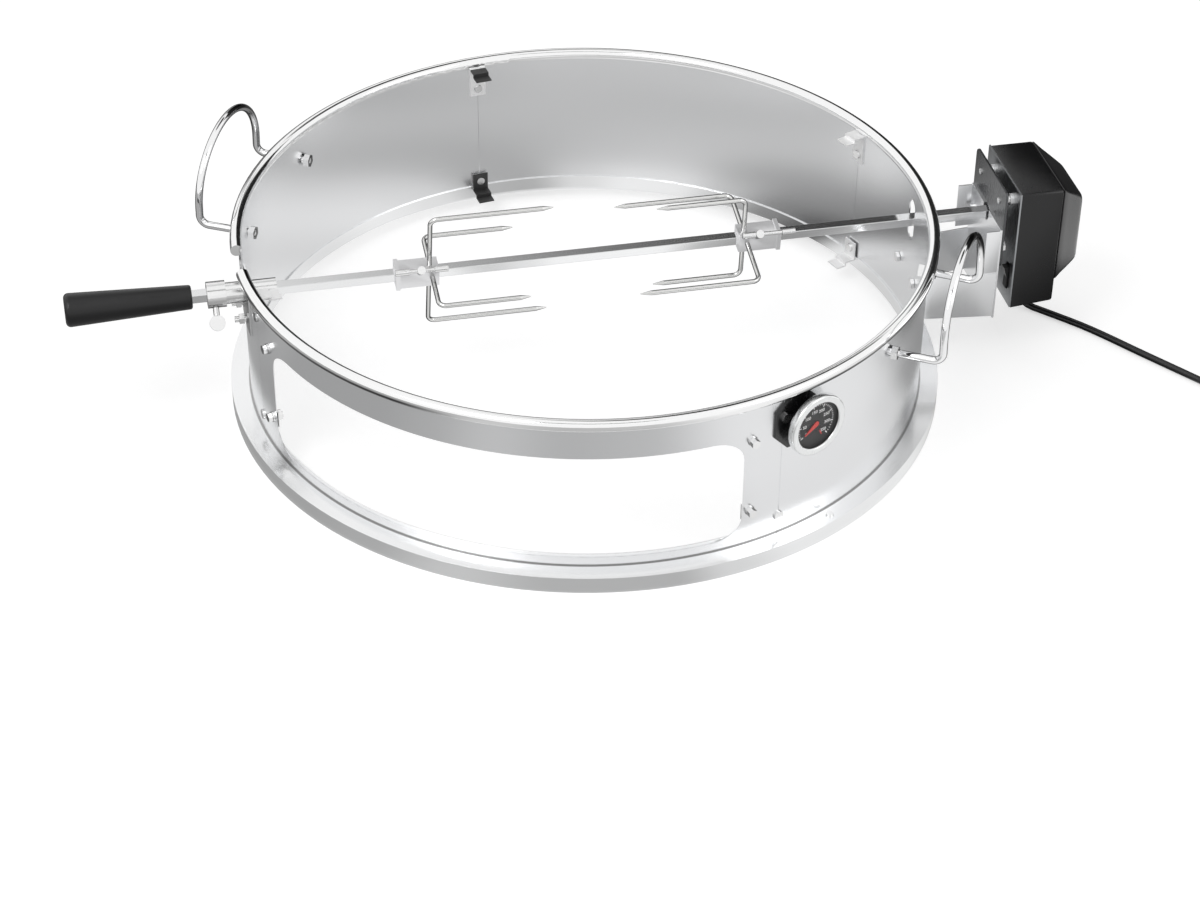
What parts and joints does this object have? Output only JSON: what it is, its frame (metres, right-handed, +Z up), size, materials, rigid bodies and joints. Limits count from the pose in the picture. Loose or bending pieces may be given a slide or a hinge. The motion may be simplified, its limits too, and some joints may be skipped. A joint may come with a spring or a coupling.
{
  "type": "rotisserie spit with kettle grill ring",
  "caption": "Square spit with forks, grip and locking collar, carried by a steel kettle grill ring with a door opening, side handles, thermometer and gear motor on a bracket.",
  "frame": {"origin": "on the ring's axis, at the bottom edge of the skirt", "axes": "+X along the spit towards the motor, -Y towards the door, +Z up"},
  "size_m": [1.0486, 0.592, 0.1932],
  "materials": {
    "wall_steel": "satin",
    "bead_steel": "polished",
    "plated_steel": "satin",
    "chromed_wire": "polished",
    "spit_steel": "satin",
    "bracket_steel": "satin",
    "dark_steel": "satin",
    "black_paint": "gloss",
    "bezel_steel": "brushed",
    "dial_black": "matte",
    "lens_glass": "clear",
    "needle_red": "matte",
    "motor_black": "satin",
    "grip_black": "matte",
    "cord_rubber": "gloss",
    "pin_brass": "polished",
    "socket_steel": "satin",
    "gear_nylon": "satin",
    "rotor_iron": "matte",
    "coil_copper": "enamelled"
  },
  "bodies": {
    "ring": {"front_wall_panel": "wall_steel", "right_wall_panel": "wall_steel", "rear_wall_panel": "wall_steel", "left_wall_panel": "wall_steel", "top_rim": "bead_steel", "base_flange": "wall_steel", "seam_tabs": "plated_steel", "wall_rivets": "plated_steel", "cover_studs": "plated_steel", "stud_plates": "plated_steel", "left_side_handle": "chromed_wire", "right_side_handle": "chromed_wire", "handle_nuts": "plated_steel", "thermometer_bracket": "black_paint", "thermometer_case": "black_paint", "thermometer_bezel": "bezel_steel", "thermometer_dial": "dial_black", "thermometer_lens": "lens_glass", "thermometer_probe": "plated_steel", "thermometer_fixings": "plated_steel", "spit_support_plate": "plated_steel", "support_bolts": "plated_steel", "motor_bracket": "bracket_steel", "bracket_bolts": "plated_steel", "motor_hanger_plate": "dark_steel", "motor_studs": "plated_steel", "motor_face_plate": "dark_steel", "motor_housing": "motor_black", "motor_rear_cover": "motor_black", "motor_cover_screws": "plated_steel", "gear_plate": "plated_steel", "stator_core": "rotor_iron", "stator_coil": "coil_copper", "switch_body": "grip_black", "cord_strain_relief": "grip_black", "power_cord": "cord_rubber", "cord_coil": "cord_rubber", "cord_tie": "grip_black", "plug_body": "grip_black", "plug_pins": "pin_brass"},
    "needle": {"thermometer_needle": "needle_red"},
    "switch": {"switch_rocker": "grip_black"},
    "spit": {"spit_rod": "spit_steel", "spit_grip": "grip_black", "bushing_tube": "plated_steel", "locking_collar": "plated_steel"},
    "collar_screw": {"collar_thumb_screw": "plated_steel"},
    "left_fork": {"left_fork_hub": "spit_steel", "left_long_prongs": "chromed_wire", "left_short_prongs": "chromed_wire"},
    "left_screw": {"left_fork_screw": "plated_steel"},
    "right_fork": {"right_fork_hub": "spit_steel", "right_long_prongs": "chromed_wire", "right_short_prongs": "chromed_wire"},
    "right_screw": {"right_fork_screw": "plated_steel"},
    "drive": {"drive_socket": "socket_steel", "output_gear": "gear_nylon"},
    "idler": {"idler_gear": "gear_nylon"},
    "rotor": {"motor_rotor": "rotor_iron"}
  },
  "joints": [
    {"name": "spit_turn", "type": "hinge", "parent": "ring", "child": "spit", "pos_m": [0, 0, 0.116], "axis": [1, 0, 0], "continuous": true},
    {"name": "left_fork_slide", "type": "slide", "parent": "spit", "child": "left_fork", "axis": [1, 0, 0], "range_m": [-0.08, 0.025]},
    {"name": "right_fork_slide", "type": "slide", "parent": "spit", "child": "right_fork", "axis": [1, 0, 0], "range_m": [-0.025, 0.08]},
    {"name": "left_fork_screw_turn", "type": "hinge", "parent": "left_fork", "child": "left_screw", "pos_m": [-0.138, -0.01358, 0.12623], "axis": [0, -0.7986, 0.6018], "range_deg": [-35, 35]},
    {"name": "right_fork_screw_turn", "type": "hinge", "parent": "right_fork", "child": "right_screw", "pos_m": [0.1435, -0.01358, 0.12623], "axis": [0, -0.7986, 0.6018], "range_deg": [-35, 35]},
    {"name": "collar_screw_turn", "type": "hinge", "parent": "spit", "child": "collar_screw", "pos_m": [-0.304, -0.01083, 0.10162], "axis": [0, 0.6018, 0.7986], "continuous": true},
    {"name": "needle_turn", "type": "hinge", "parent": "ring", "child": "needle", "pos_m": [0.11922, -0.25335, 0.114], "axis": [-0.4258, 0.9048, 0], "range_deg": [0, 260]},
    {"name": "switch_rock", "type": "hinge", "parent": "ring", "child": "switch", "pos_m": [0.3615, -0.03, 0.07], "axis": [0, 1, 0], "range_deg": [0, 14]},
    {"name": "drive_turn", "type": "hinge", "parent": "ring", "child": "drive", "pos_m": [0.37, 0, 0.116], "axis": [1, 0, 0], "continuous": true},
    {"name": "idler_turn", "type": "hinge", "parent": "ring", "child": "idler", "pos_m": [0.378, 0.018, 0.092], "axis": [1, 0, 0], "continuous": true},
    {"name": "rotor_turn", "type": "hinge", "parent": "ring", "child": "rotor", "pos_m": [0.39, -0.006, 0.092], "axis": [1, 0, 0], "continuous": true}
  ],
  "couplings": [
    {"joint": "drive_turn", "follows": "spit_turn", "ratio": 1},
    {"joint": "idler_turn", "follows": "spit_turn", "ratio": -4},
    {"joint": "rotor_turn", "follows": "spit_turn", "ratio": 12}
  ]
}
